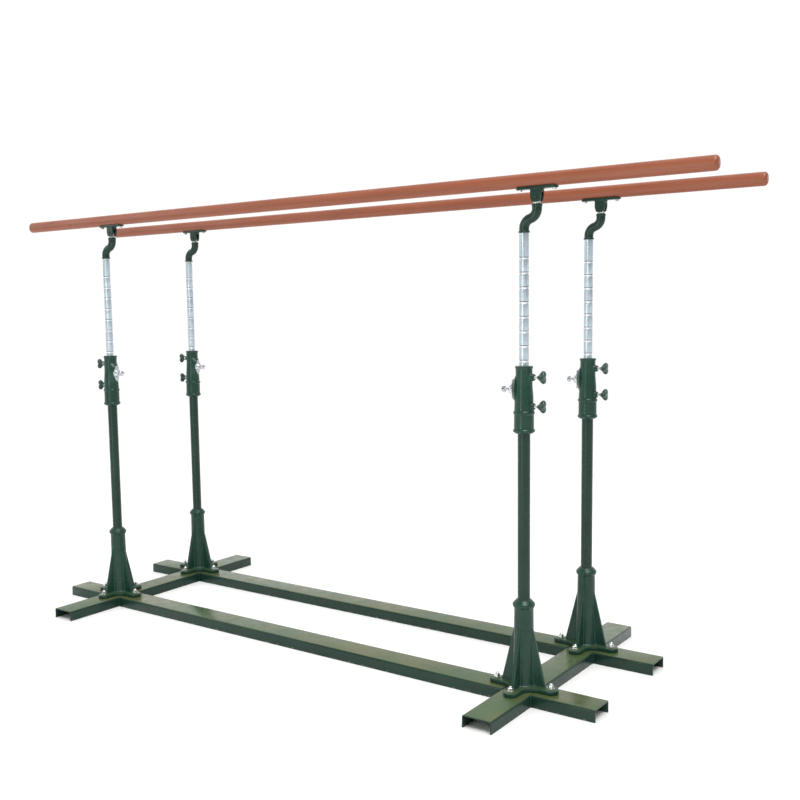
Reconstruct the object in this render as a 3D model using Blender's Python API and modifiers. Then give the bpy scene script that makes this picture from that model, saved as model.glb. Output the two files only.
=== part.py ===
"""Portable parallel bars: two oval rails on four telescopic posts over a welded channel frame.

Units are metres, +X runs along the rails, +Y from the front rail to the rear one, +Z is up.
The origin is on the floor under the middle of the rails. Necks point to +X at rest.
"""

import math

import bmesh
import bpy

# Driving dimensions
POST_X = 1.125  # half the distance between the posts of one rail
POST_Y = 0.2715  # half the distance between the two rails' posts
RAIL_LENGTH = 3.5
RAIL_WIDTH = 0.040
RAIL_HEIGHT = 0.050
RAIL_AXIS_Z = 1.875
NECK_OFFSET = 0.050  # how far a swan neck carries the rail off the column's axis
FRAME_X = -NECK_OFFSET  # the frame's middle, with the rails' middle over the origin
GAP = 0.0003  # between pieces that touch

# Base frame of channel, open side down
CHANNEL_WIDTH = 0.116
CHANNEL_HEIGHT = 0.045
CHANNEL_WALL = 0.005
CHANNEL_CORNER = 0.006
STUB_X = 0.306  # past the post axis, along X
STUB_Y = 0.345  # past the post axis, along Y
WELD_DEPTH = 0.002  # how far a butt-welded end reaches into the wall it meets

# Pedestal casting
FLANGE_THICK = 0.016
ARM_HALF_WIDTH = 0.028
ARM_BOLT_X = 0.110  # bolt circle of the arms along X
ARM_BOLT_Y = 0.100
ARM_FILLET = 0.045
BOLT_HOLE_R = 0.0065
PEDESTAL_TOP = 0.378
PEDESTAL_FOOT_R = 0.042
PEDESTAL_NECK_R = 0.035
BEAD_R = 0.0415
BEAD_Z = 0.361
RIB_FOOT = 0.088
RIB_TOP_Z = 0.285
RIB_THICK = 0.012
SOCKET_FLOOR_Z = 0.098

# Telescopic post
UPRIGHT_R = 0.0225
UPRIGHT_BORE_R = 0.0195
UPRIGHT_TOP_Z = 1.036
COLUMN_R = 0.0168
COLUMN_BORE_R = 0.0130
COLUMN_FOOT_Z = 0.750
COLUMN_TOP_Z = 1.6957
COLUMN_SPIGOT_R = 0.0120
COLUMN_SPIGOT = 0.024

# Sleeve casting, its clamp screws and its latch
SLEEVE_FOOT_Z = 0.987
SLEEVE_TOP_Z = 1.229
GUIDE_R = 0.0173
CLAMP_ZS = (1.085, 1.189)
CLAMP_BOSS_R = 0.012
CLAMP_BOSS_FACE = 0.0425
SCREW_R = 0.0047
SCREW_HOLE_R = 0.0053
TIP_CLEARANCE = 0.0007  # screw and latch tips stay this far off the column
KNOB_FACE = 0.082
KNOB_THICK = 0.027
LOBE_RADIUS = 0.0115
LOBE_OFFSET = 0.0140
LOBE_TURN = 30  # so that one lobe points along Y
KNOB_NECK = 0.42  # the knob's inner end, as a share of its face
LATCH_Z = 1.144
LATCH_BOSS_FACE = 0.0395
LATCH_BOSS_TALL = 0.039  # half the height of the boss's face, which is half as wide
LATCH_BOSS_FLARE = 0.026  # how much taller, at each end, the boss is at its root
LATCH_BOSS_ROOT = 0.022
LATCH_PIN_R = 0.0040
LATCH_HOLE_R = 0.0046
LATCH_PLATE = 0.005
LATCH_EAR_OFFSET = 0.031
LATCH_EAR_R = 0.0065
LATCH_HUB_R = 0.0190
LATCH_HUB_HEIGHT = 0.0205
LATCH_HUB_TOP_R = 0.0095
LATCH_KNOB_R = 0.0115
LATCH_KNOB_FOOT = 0.0740
LATCH_KNOB_TOP = 0.0865

# Neck, swivel and saddle
NECK_R = 0.0178
NECK_FOOT_Z = 1.6960
NECK_HEIGHT = 0.0977
NECK_STRAIGHT = 0.016
NECK_LIP_R = 0.0206
SWIVEL_R = 0.0090
SWIVEL_SPIGOT = 0.024
TONGUE_THICK = 0.012
TONGUE_R = 0.0125
TONGUE_HOLE_R = 0.0052
PIN_Z = 1.8175
PIN_R = 0.0040
PIN_HOLE_R = 0.0044
SADDLE_LENGTH = 0.160
SADDLE_WIDTH = 0.030
SADDLE_EDGE = 0.0042  # how far the cradle's edge rises past the rail's lowest line
SADDLE_FLOOR = 0.006
BLOCK_WIDTH = 0.042
BLOCK_DEPTH = 0.028
BLOCK_FOOT_WIDTH = 0.026
SLOT_WIDTH = 0.0128
RAIL_BOLT_X = 0.066
RAIL_BOLT_R = 0.0040
RAIL_BOLT_HOLE_R = 0.0044
RAIL_BOLT_DEPTH = 0.024  # how deep a bolt goes into the rail

WELD = 0.00001
ROUND = 16  # sides of a round piece
SMALL_ROUND = 8
NECK_TOP_Z = NECK_FOOT_Z + NECK_HEIGHT
RAIL_FOOT_Z = RAIL_AXIS_Z - RAIL_HEIGHT / 2
SIDES = {"left": -1, "right": 1}
ROWS = {"front": -1, "rear": 1}


def clear_scene():
    for old in list(bpy.data.objects):
        bpy.data.objects.remove(old, do_unlink=True)


def new_collection(name, hidden=False):
    made = bpy.data.collections.new(name)
    made.hide_render = hidden
    bpy.context.scene.collection.children.link(made)
    return made


def new_material(name, colour, roughness, metallic):
    made = bpy.data.materials.new(name)
    made.use_nodes = True
    made.diffuse_color = (*colour, 1)
    shader = made.node_tree.nodes["Principled BSDF"]
    shader.inputs["Base Color"].default_value = (*colour, 1)
    shader.inputs["Roughness"].default_value = roughness
    shader.inputs["Metallic"].default_value = metallic
    return made


clear_scene()
PARTS = new_collection("parallel_bars")
PATTERNS = new_collection("patterns", hidden=True)
GREEN = new_material("green_paint", (0.026, 0.075, 0.048), 0.35, 0.0)
CHROME = new_material("chrome", (0.72, 0.74, 0.76), 0.15, 1.0)
ZINC = new_material("zinc", (0.60, 0.61, 0.62), 0.30, 1.0)
RAIL_RED = new_material("rail", (0.42, 0.155, 0.10), 0.45, 0.0)


# Shapes


def pattern(name, mesh):
    """A working object that is cut, joined or copied and isn't itself a piece."""
    made = bpy.data.objects.new(name, mesh)
    made.display_type = "WIRE"
    made.hide_render = True
    PATTERNS.objects.link(made)
    return made


def baked(obj, weld):
    """The mesh of an object with its modifiers applied and its placement kept."""
    bpy.context.view_layer.update()
    graph = bpy.context.evaluated_depsgraph_get()
    mesh = bpy.data.meshes.new_from_object(obj.evaluated_get(graph))
    mesh.transform(obj.matrix_world)
    work = bmesh.new()
    work.from_mesh(mesh)
    if weld:
        bmesh.ops.remove_doubles(work, verts=work.verts, dist=WELD)
    bmesh.ops.recalc_face_normals(work, faces=work.faces)
    work.to_mesh(mesh)
    work.free()
    return mesh


def solid(obj, weld=False):
    """The object as a plain mesh, which Booleans can use. A curve's loose caps need welding."""
    made = pattern(obj.name + "_solid", baked(obj, weld))
    bpy.data.objects.remove(obj, do_unlink=True)
    return made


def turned(name, profile, sides=ROUND, hollow=False):
    """A turned solid from (radius, height), down the outer side and, if hollow, up the bore."""
    mesh = bpy.data.meshes.new(name)
    ends = [(i, i + 1) for i in range(len(profile) - 1)]
    if hollow:
        ends.append((len(profile) - 1, 0))
    mesh.from_pydata([(r, 0, z) for r, z in profile], ends, [])
    made = pattern(name, mesh)
    screw = made.modifiers.new("turn", "SCREW")
    screw.steps = screw.render_steps = sides
    screw.use_merge_vertices = True
    screw.merge_threshold = 0.00001
    return solid(made)


def cylinder(name, radius, low, high, sides=ROUND):
    return turned(name, [(0, high), (radius, high), (radius, low), (0, low)], sides)


def extruded(name, outline, thick):
    """A flat outline in XY, extruded to both sides of Z = 0."""
    curve = bpy.data.curves.new(name, "CURVE")
    curve.dimensions = "2D"
    curve.fill_mode = "BOTH"
    curve.extrude = thick / 2
    spline = curve.splines.new("POLY")
    spline.points.add(len(outline) - 1)
    for point, (x, y) in zip(spline.points, outline):
        point.co = (x, y, 0, 1)
    spline.use_cyclic_u = True
    return solid(pattern(name, curve), weld=True)


def box(name, low, high):
    middle = [(a + b) / 2 for a, b in zip(low, high)]
    mesh = bpy.data.meshes.new(name)
    work = bmesh.new()
    bmesh.ops.create_cube(work, size=1)
    bmesh.ops.scale(work, vec=[b - a for a, b in zip(low, high)], verts=work.verts)
    bmesh.ops.translate(work, vec=middle, verts=work.verts)
    work.to_mesh(mesh)
    work.free()
    return pattern(name, mesh)


def moved(obj, location=(0, 0, 0), rotation=(0, 0, 0)):
    """The object placed, with its placement made part of its mesh."""
    obj.location = location
    obj.rotation_euler = [math.radians(angle) for angle in rotation]
    return solid(obj)


def combined(obj, others, operation, solver):
    for other in others:
        change = obj.modifiers.new(operation.lower(), "BOOLEAN")
        change.operation = operation
        change.solver = solver
        change.object = other
    made = solid(obj)
    for other in others:
        bpy.data.objects.remove(other, do_unlink=True)
    return made


def joined(obj, *others, solver="EXACT"):
    return combined(obj, others, "UNION", solver)


def cut(obj, *others, solver="EXACT"):
    return combined(obj, others, "DIFFERENCE", solver)


def arc(centre, radius, start, end, steps):
    """Points on an arc, angles in degrees."""
    angles = [math.radians(start + (end - start) * i / steps) for i in range(steps + 1)]
    return [(centre[0] + radius * math.cos(a), centre[1] + radius * math.sin(a)) for a in angles]


def across(name, radius, start, end, z, side, sides=SMALL_ROUND):
    """A cylinder along X at height z, from start to end on one side of the axis."""
    made = cylinder(name, radius, start, end, sides)
    return moved(made, (0, 0, z), (0, 90 * side, 0))


# Pieces, each in its own frame


def channel(name, length):
    """Channel along X, open side down, with rounded folds."""
    half = CHANNEL_WIDTH / 2
    fold = CHANNEL_CORNER
    inside = half - CHANNEL_WALL
    top = CHANNEL_HEIGHT - CHANNEL_WALL
    outline = [(half, 0)]
    outline += arc((half - fold, CHANNEL_HEIGHT - fold), fold, 0, 90, 4)
    outline += arc((fold - half, CHANNEL_HEIGHT - fold), fold, 90, 180, 4)
    outline += [(-half, 0), (-inside, 0), (-inside, top), (inside, top), (inside, 0)]
    return moved(extruded(name, outline, length), rotation=(90, 0, 90))


def base_frame():
    """Two cross members with the long rails and the stubs butt-welded to their walls."""
    cross_length = 2 * (POST_Y + STUB_Y)
    inner = POST_X - CHANNEL_WIDTH / 2 + WELD_DEPTH
    outer = POST_X + CHANNEL_WIDTH / 2 - WELD_DEPTH
    stub = POST_X + STUB_X - outer
    frame = moved(channel("cross", cross_length), (-POST_X, 0, 0), (0, 0, 90))
    others = [moved(channel("cross", cross_length), (POST_X, 0, 0), (0, 0, 90))]
    for row in ROWS.values():
        others.append(moved(channel("long_rail", 2 * inner), (0, row * POST_Y, 0)))
        for side in SIDES.values():
            place = (side * (outer + stub / 2), row * POST_Y, 0)
            others.append(moved(channel("stub", stub), place))
    holes = []
    for row in ROWS.values():
        for side in SIDES.values():
            for x, y in bolt_places():
                hole = cylinder("hole", BOLT_HOLE_R, 0.01, 0.06, SMALL_ROUND)
                holes.append(moved(hole, (side * POST_X + x, row * POST_Y + y, 0)))
    return cut(joined(frame, *others), *holes)


def bolt_places():
    return [(ARM_BOLT_X, 0), (0, ARM_BOLT_Y), (-ARM_BOLT_X, 0), (0, -ARM_BOLT_Y)]


def pedestal():
    """Four-armed flange, tapered ribbed column and bead collar, with the upright's socket."""
    outline = []
    fillet_centre = ARM_HALF_WIDTH + ARM_FILLET
    for quarter, (x, y) in enumerate(bolt_places()):
        turn = 90 * quarter
        outline += arc((x, y), ARM_HALF_WIDTH, turn - 90, turn + 90, 6)
        swing = math.radians(turn)
        centre = (
            fillet_centre * (math.cos(swing) - math.sin(swing)),
            fillet_centre * (math.sin(swing) + math.cos(swing)),
        )
        outline += arc(centre, ARM_FILLET, turn + 270, turn + 180, 5)
    flange_z = CHANNEL_HEIGHT + GAP
    flange_top = flange_z + FLANGE_THICK
    flange = moved(extruded("flange", outline, FLANGE_THICK), (0, 0, flange_z + FLANGE_THICK / 2))
    bead = PEDESTAL_TOP - BEAD_Z
    body = turned(
        "body",
        [
            (0, PEDESTAL_TOP),
            (PEDESTAL_NECK_R - 0.007, PEDESTAL_TOP),
            (BEAD_R - 0.004, BEAD_Z + bead / 2),
            (BEAD_R, BEAD_Z),
            (BEAD_R - 0.003, BEAD_Z - bead / 2),
            (PEDESTAL_NECK_R, BEAD_Z - bead),
            (PEDESTAL_NECK_R, RIB_TOP_Z),
            (PEDESTAL_FOOT_R, flange_z + 0.003),
            (0, flange_z + 0.003),
        ],
    )
    ribs = []
    for turn in (0, 90):
        low = flange_top - 0.004
        foot = flange_top + 0.008
        top = PEDESTAL_NECK_R - 0.003
        side = [(RIB_FOOT, low), (RIB_FOOT, foot), (top, RIB_TOP_Z)]
        rib = extruded("rib", side + [(-x, z) for x, z in reversed(side)], RIB_THICK)
        ribs.append(moved(rib, rotation=(90, 0, turn)))
    socket = cylinder("socket", UPRIGHT_R + GAP, SOCKET_FLOOR_Z, PEDESTAL_TOP + 0.01)
    holes = [
        moved(cylinder("hole", BOLT_HOLE_R, 0.03, 0.08, SMALL_ROUND), (x, y, 0))
        for x, y in bolt_places()
    ]
    casting = joined(flange, body, *ribs, solver="MANIFOLD")
    return cut(casting, socket, *holes, solver="MANIFOLD")


def upright():
    """Tube from the pedestal's socket to the sleeve."""
    low = SOCKET_FLOOR_Z + GAP
    profile = [(UPRIGHT_R, UPRIGHT_TOP_Z), (UPRIGHT_R, low)]
    profile += [(UPRIGHT_BORE_R, low), (UPRIGHT_BORE_R, UPRIGHT_TOP_Z)]
    return turned("upright", profile, hollow=True)


def sleeve():
    """Head casting of the right posts: guide bore, latch boss to -X, two clamp bosses to +X."""
    seat = UPRIGHT_TOP_Z + GAP
    body = turned(
        "body",
        [
            (GUIDE_R, SLEEVE_TOP_Z),
            (0.0320, SLEEVE_TOP_Z),
            (0.0320, SLEEVE_TOP_Z - 0.005),
            (0.0298, SLEEVE_TOP_Z - 0.009),
            (0.0303, 1.160),
            (0.0335, 1.115),
            (0.0350, 1.068),
            (0.0385, 1.063),
            (0.0385, 1.056),
            (0.0356, 1.051),
            (0.0358, 1.002),
            (0.0396, 0.999),
            (0.0396, 0.993),
            (0.0300, SLEEVE_FOOT_Z),
            (UPRIGHT_R + GAP, SLEEVE_FOOT_Z),
            (UPRIGHT_R + GAP, seat),
            (GUIDE_R, seat),
        ],
        hollow=True,
    )
    face = (LATCH_BOSS_TALL, LATCH_BOSS_FACE)
    root = (LATCH_BOSS_TALL + LATCH_BOSS_FLARE, LATCH_BOSS_ROOT)
    boss = turned("latch_boss", [(0, face[1]), face, root, (0, root[1])])
    boss.scale = (1, 0.5, 1)
    boss = moved(boss, (0, 0, LATCH_Z), (0, -90, 0))
    bosses = [across("boss", CLAMP_BOSS_R, 0.024, CLAMP_BOSS_FACE, z, 1, 12) for z in CLAMP_ZS]
    holes = [across("hole", SCREW_HOLE_R, 0.01, 0.06, z, 1) for z in CLAMP_ZS]
    holes.append(across("hole", LATCH_HOLE_R, 0.01, 0.06, LATCH_Z, -1))
    return cut(joined(body, boss, *bosses), *holes)


def clamp_screw():
    """Three-lobed knob on a stud. Z is its axis, from the column's axis outwards."""
    outline = []
    middle = KNOB_FACE - KNOB_THICK / 2
    for lobe in range(3):
        turn = LOBE_TURN + 120 * lobe
        swing = math.radians(turn)
        centre = (LOBE_OFFSET * math.cos(swing), LOBE_OFFSET * math.sin(swing))
        outline += arc(centre, LOBE_RADIUS, turn - 75, turn + 75, 5)
    knob = extruded("knob", outline, KNOB_THICK)
    knob = moved(knob, (0, 0, middle))
    work = bmesh.new()
    work.from_mesh(knob.data)
    inner = [v for v in work.verts if v.co.z < middle]
    bmesh.ops.scale(work, vec=(KNOB_NECK, KNOB_NECK, 1), verts=inner)
    work.to_mesh(knob.data)
    work.free()
    stud = cylinder("stud", SCREW_R, COLUMN_R + TIP_CLEARANCE, KNOB_FACE - 0.01, SMALL_ROUND)
    return joined(knob, stud)


def latch_housing():
    """Two-eared plate with a domed hub, bored for the plunger. Z points away from the column."""
    tangent = math.degrees(math.acos((LATCH_HUB_R - LATCH_EAR_R) / LATCH_EAR_OFFSET))
    outline = []
    for turn in (0, 180):
        swing = math.radians(turn)
        ear = (LATCH_EAR_OFFSET * math.cos(swing), LATCH_EAR_OFFSET * math.sin(swing))
        outline += arc(ear, LATCH_EAR_R, turn - tangent, turn + tangent, 6)
        outline += arc((0, 0), LATCH_HUB_R, turn + tangent, turn + 180 - tangent, 3)
    low = LATCH_BOSS_FACE + GAP
    plate = moved(extruded("plate", outline, LATCH_PLATE), (0, 0, low + LATCH_PLATE / 2))
    top = low + LATCH_HUB_HEIGHT
    foot = low + LATCH_PLATE - 0.001
    shoulder = ((LATCH_HUB_TOP_R + LATCH_HUB_R) / 2 + 0.0025, top - 0.006)
    profile = [(0, top), (LATCH_HUB_TOP_R, top), shoulder, (LATCH_HUB_R - 0.0005, foot), (0, foot)]
    bore = cylinder("bore", LATCH_HOLE_R, 0.03, 0.08, SMALL_ROUND)
    return cut(joined(plate, turned("hub", profile)), bore)


def latch_plunger():
    """Pin and pull knob, with the same axis as its housing."""
    tip = COLUMN_R + TIP_CLEARANCE
    profile = [
        (0, LATCH_KNOB_TOP),
        (LATCH_KNOB_R - 0.002, LATCH_KNOB_TOP),
        (LATCH_KNOB_R, LATCH_KNOB_TOP - 0.002),
        (LATCH_KNOB_R, LATCH_KNOB_FOOT + 0.002),
        (LATCH_KNOB_R - 0.002, LATCH_KNOB_FOOT),
        (LATCH_PIN_R, LATCH_KNOB_FOOT),
        (LATCH_PIN_R, tip + 0.002),
        (0.0025, tip),
        (0, tip),
    ]
    return turned("plunger", profile)


def column():
    """Tube with a spigot on top for the neck to turn on."""
    profile = [
        (0, COLUMN_TOP_Z + COLUMN_SPIGOT),
        (COLUMN_SPIGOT_R, COLUMN_TOP_Z + COLUMN_SPIGOT),
        (COLUMN_SPIGOT_R, COLUMN_TOP_Z),
        (COLUMN_R, COLUMN_TOP_Z),
        (COLUMN_R, COLUMN_FOOT_Z),
        (COLUMN_BORE_R, COLUMN_FOOT_Z),
        (COLUMN_BORE_R, COLUMN_TOP_Z - 0.020),
        (0, COLUMN_TOP_Z - 0.020),
    ]
    return turned("column", profile)


def neck():
    """S-shaped tube of two equal bends, bored at both ends. Its foot is at the origin."""
    rise = NECK_HEIGHT - 2 * NECK_STRAIGHT
    bend = 2 * math.atan(NECK_OFFSET / rise)
    radius = rise / (2 * math.sin(bend))
    route = [(0, 0.002)]
    route += arc((radius, NECK_STRAIGHT), radius, 180, 180 - math.degrees(bend), 5)
    end_centre = (NECK_OFFSET - radius, NECK_STRAIGHT + rise)
    route += arc(end_centre, radius, -math.degrees(bend), 0, 5)[1:]
    route.append((NECK_OFFSET, NECK_HEIGHT - 0.002))
    curve = bpy.data.curves.new("neck", "CURVE")
    curve.dimensions = "3D"
    curve.bevel_depth = NECK_R
    curve.bevel_resolution = 2
    curve.use_fill_caps = True
    spline = curve.splines.new("POLY")
    spline.points.add(len(route) - 1)
    for point, (x, z) in zip(spline.points, route):
        point.co = (x, 0, z, 1)
    tube = solid(pattern("neck", curve), weld=True)
    lip = cylinder("lip", NECK_LIP_R, 0, 0.006)
    ring = cylinder("ring", NECK_R + 0.0006, NECK_HEIGHT - 0.009, NECK_HEIGHT)
    ring = moved(ring, (NECK_OFFSET, 0, 0))
    foot_bore = cylinder("bore", COLUMN_SPIGOT_R + 0.0006, -0.01, COLUMN_SPIGOT + 0.001)
    top_bore = cylinder("bore", SWIVEL_R + 0.0006, NECK_HEIGHT - SWIVEL_SPIGOT - 0.001, NECK_HEIGHT + 0.01)
    return cut(joined(tube, lip, ring), foot_bore, moved(top_bore, (NECK_OFFSET, 0, 0)))


def swivel():
    """Spigot, collar and tongue. The origin is on the neck's top face."""
    pin = PIN_Z - NECK_TOP_Z
    spigot = turned(
        "spigot",
        [
            (0, 0.0045),
            (0.0135, 0.0045),
            (0.0145, 0.0035),
            (0.0145, 0.0006),
            (SWIVEL_R, 0.0006),
            (SWIVEL_R, -SWIVEL_SPIGOT),
            (0, -SWIVEL_SPIGOT),
        ],
    )
    outline = [(-TONGUE_R, 0.003), (TONGUE_R, 0.003)] + arc((0, pin), TONGUE_R, 0, 180, 8)
    tongue = moved(extruded("tongue", outline, TONGUE_THICK), rotation=(90, 0, 0))
    hole = cylinder("hole", TONGUE_HOLE_R, -TONGUE_THICK, TONGUE_THICK, SMALL_ROUND)
    return cut(joined(spigot, tongue), moved(hole, (0, 0, pin), (90, 0, 0)))


def rail_section(grow=0):
    """The rail's oval, width by height, round its own axis."""
    steps = range(24)
    angles = [2 * math.pi * i / len(steps) for i in steps]
    wide = RAIL_WIDTH / 2 + grow
    high = RAIL_HEIGHT / 2 + grow
    return [(wide * math.cos(a), high * math.sin(a)) for a in angles]


def saddle():
    """Fork block under a cradle plate that fits the rail's underside. The origin is on the pin."""
    rail_foot = RAIL_FOOT_Z - PIN_Z
    floor = rail_foot - SADDLE_FLOOR
    block_foot = NECK_TOP_Z + 0.0060 - PIN_Z
    half = BLOCK_WIDTH / 2
    foot = BLOCK_FOOT_WIDTH / 2
    side = [(foot, block_foot), (foot + 0.004, block_foot + 0.004), (half, 0), (half, floor + 0.002)]
    block = extruded("block", side + [(-x, z) for x, z in reversed(side)], BLOCK_DEPTH)
    block = moved(block, rotation=(90, 0, 0))
    end = SADDLE_WIDTH / 2
    reach = SADDLE_LENGTH / 2 - end
    outline = arc((reach, 0), end, -90, 90, 8) + arc((-reach, 0), end, 90, 270, 8)
    thick = SADDLE_FLOOR + SADDLE_EDGE
    plate = moved(extruded("plate", outline, thick), (0, 0, floor + thick / 2))
    bed = extruded("bed", rail_section(GAP), SADDLE_LENGTH + 0.02)
    bed = moved(bed, (0, 0, RAIL_AXIS_Z - PIN_Z), (90, 0, 90))
    slot_top = TONGUE_R + 0.0015
    slot = box("slot", (-0.05, -SLOT_WIDTH / 2, block_foot - 0.01), (0.05, SLOT_WIDTH / 2, slot_top))
    pin_hole = cylinder("hole", PIN_HOLE_R, -0.03, 0.03, SMALL_ROUND)
    holes = [moved(pin_hole, rotation=(90, 0, 0))]
    for x in (-RAIL_BOLT_X, RAIL_BOLT_X):
        hole = cylinder("hole", RAIL_BOLT_HOLE_R, floor - 0.01, floor + 0.03, SMALL_ROUND)
        holes.append(moved(hole, (x, 0, 0)))
    return cut(joined(block, plate), bed, slot, *holes)


def tilt_pin():
    """Headed pin along Y through the fork."""
    half = BLOCK_DEPTH / 2 + GAP
    head = half + 0.003
    profile = [(0, head), (0.0055, head), (0.0065, head - 0.001), (0.0065, half), (PIN_R, half)]
    profile += [(r, -z) for r, z in reversed(profile)]
    return moved(turned("tilt_pin", profile, SMALL_ROUND), rotation=(90, 0, 0))


def rail_bolt():
    """Hexagon-headed bolt and washer, head down. The origin is where the washer meets the plate."""
    washer = cylinder("washer", 0.0080, -0.0016, -GAP, SMALL_ROUND)
    head = cylinder("head", 0.0075, -0.0070, -0.0010, 6)
    shank = cylinder("shank", RAIL_BOLT_R, -0.0050, SADDLE_FLOOR + RAIL_BOLT_DEPTH, SMALL_ROUND)
    return joined(head, washer, shank)


def rail():
    """Oval rail with rounded ends, bored from below for its four bolts."""
    round_end = 0.008
    curve = bpy.data.curves.new("rail", "CURVE")
    curve.dimensions = "2D"
    curve.fill_mode = "BOTH"
    curve.extrude = RAIL_LENGTH / 2 - round_end
    curve.bevel_depth = round_end
    curve.bevel_resolution = 1
    curve.offset = -round_end
    outline = rail_section()
    spline = curve.splines.new("POLY")
    spline.points.add(len(outline) - 1)
    for point, (x, y) in zip(spline.points, outline):
        point.co = (x, y, 0, 1)
    spline.use_cyclic_u = True
    body = moved(solid(pattern("rail", curve), weld=True), rotation=(90, 0, 90))
    foot = -RAIL_HEIGHT / 2
    holes = []
    for post in SIDES.values():
        for x in (-RAIL_BOLT_X, RAIL_BOLT_X):
            top = foot + RAIL_BOLT_DEPTH + 0.002
            hole = cylinder("hole", RAIL_BOLT_HOLE_R, foot - 0.01, top, SMALL_ROUND)
            holes.append(moved(hole, (post * POST_X + x, 0, 0)))
    return cut(body, *holes)


# Assembly


def finished(pattern_object, sharp=35):
    """The pattern's mesh, shaded smooth with sharp edges kept, ready to share between copies."""
    mesh = pattern_object.data
    mesh.shade_smooth()
    mesh.set_sharp_from_angle(angle=math.radians(sharp))
    bpy.data.objects.remove(pattern_object, do_unlink=True)
    return mesh


def place(name, mesh, material, location, rotation=(0, 0, 0), parent=None):
    """A piece of the object. Its location is in its parent's frame."""
    made = bpy.data.objects.new(name, mesh)
    if not mesh.materials:
        mesh.materials.append(material)
    made.location = location
    made.rotation_euler = [math.radians(angle) for angle in rotation]
    made.parent = parent
    PARTS.objects.link(made)
    return made


def pivot(name, location, parent):
    made = bpy.data.objects.new(name, None)
    made.empty_display_size = 0.05
    made.location = location
    made.parent = parent
    PARTS.objects.link(made)
    return made


def build_stand(meshes):
    """The base frame and everything that stays put on it, with the screws and latches."""
    frame = place("base_frame", meshes["base_frame"], GREEN, (FRAME_X, 0, 0))
    for row_name, row in ROWS.items():
        for side_name, side in SIDES.items():
            end = f"{row_name}_{side_name}"
            post = pivot(f"post_{end}", (side * POST_X, row * POST_Y, 0), frame)
            turn = 0 if side > 0 else 180
            post.rotation_euler = (0, 0, math.radians(turn))
            for kind in ("pedestal", "upright", "sleeve"):
                place(f"{kind}_{end}", meshes[kind], GREEN, (0, 0, 0), parent=post)
            for level, z in zip(("lower", "upper"), CLAMP_ZS):
                spot = (0, 0, z)
                name = f"clamp_screw_{level}_{end}"
                place(name, meshes["clamp_screw"], GREEN, spot, (0, 90, 0), post)
            for kind in ("latch_housing", "latch_plunger"):
                place(f"{kind}_{end}", meshes[kind], CHROME, (0, 0, LATCH_Z), (0, -90, 0), post)


def build_rail(meshes, row_name, row):
    """One rail with its two columns, necks, swivels and saddles."""
    floor = RAIL_FOOT_Z - PIN_Z - SADDLE_FLOOR
    for side_name, side in SIDES.items():
        end = f"{row_name}_{side_name}"
        column_at = (FRAME_X + side * POST_X, row * POST_Y, 0)
        post = place(f"column_{end}", meshes["column"], CHROME, column_at)
        arm = place(f"neck_{end}", meshes["neck"], GREEN, (0, 0, NECK_FOOT_Z), parent=post)
        top = (NECK_OFFSET, 0, NECK_HEIGHT)
        tongue = place(f"swivel_{end}", meshes["swivel"], ZINC, top, parent=arm)
        if side < 0:
            tilt = pivot(f"tilt_{row_name}", (0, 0, PIN_Z - NECK_TOP_Z), tongue)
    for side_name, side in SIDES.items():
        end = f"{row_name}_{side_name}"
        away = (side + 1) * POST_X
        place(f"saddle_{end}", meshes["saddle"], GREEN, (away, 0, 0), parent=tilt)
        place(f"tilt_pin_{end}", meshes["tilt_pin"], GREEN, (away, 0, 0), parent=tilt)
        for number, x in enumerate((-RAIL_BOLT_X, RAIL_BOLT_X), 1):
            spot = (away + x, 0, floor)
            place(f"rail_bolt_{end}_{number}", meshes["rail_bolt"], ZINC, spot, parent=tilt)
    place(f"rail_{row_name}", meshes["rail"], RAIL_RED, (POST_X, 0, RAIL_AXIS_Z - PIN_Z), parent=tilt)


def main():
    makers = (
        base_frame,
        pedestal,
        upright,
        sleeve,
        clamp_screw,
        latch_housing,
        latch_plunger,
        column,
        neck,
        swivel,
        saddle,
        tilt_pin,
        rail_bolt,
        rail,
    )
    meshes = {maker.__name__: finished(maker()) for maker in makers}
    build_stand(meshes)
    for row_name, row in ROWS.items():
        build_rail(meshes, row_name, row)


main()
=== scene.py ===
"""Looks of the portable parallel bars: painted castings and channel, plated columns, coated rails.

Units are metres, in the frame's own axes: +X along the rails, +Y towards the rear rail, +Z up.
"""

import math

import bmesh
import bpy
from mathutils import Matrix, Vector


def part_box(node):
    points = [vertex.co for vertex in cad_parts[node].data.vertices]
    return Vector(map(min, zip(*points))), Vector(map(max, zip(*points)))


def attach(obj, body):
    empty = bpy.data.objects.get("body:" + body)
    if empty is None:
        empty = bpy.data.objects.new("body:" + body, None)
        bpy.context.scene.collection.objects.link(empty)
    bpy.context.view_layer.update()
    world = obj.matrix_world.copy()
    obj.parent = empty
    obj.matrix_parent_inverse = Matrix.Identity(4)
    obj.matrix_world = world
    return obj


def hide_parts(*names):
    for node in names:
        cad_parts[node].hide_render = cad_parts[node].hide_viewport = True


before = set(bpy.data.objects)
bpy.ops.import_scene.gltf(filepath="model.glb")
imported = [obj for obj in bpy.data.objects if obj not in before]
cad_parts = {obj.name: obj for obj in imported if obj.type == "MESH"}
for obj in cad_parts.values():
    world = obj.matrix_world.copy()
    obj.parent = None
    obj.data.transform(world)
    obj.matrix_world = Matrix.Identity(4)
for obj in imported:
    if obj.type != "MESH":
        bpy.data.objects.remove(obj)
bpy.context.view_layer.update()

ROWS = ("front", "rear")
SIDES = ("left", "right")
ENDS = [f"{row}_{side}" for row in ROWS for side in SIDES]


def middle(node):
    low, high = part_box(node)
    return (low + high) / 2


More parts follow.
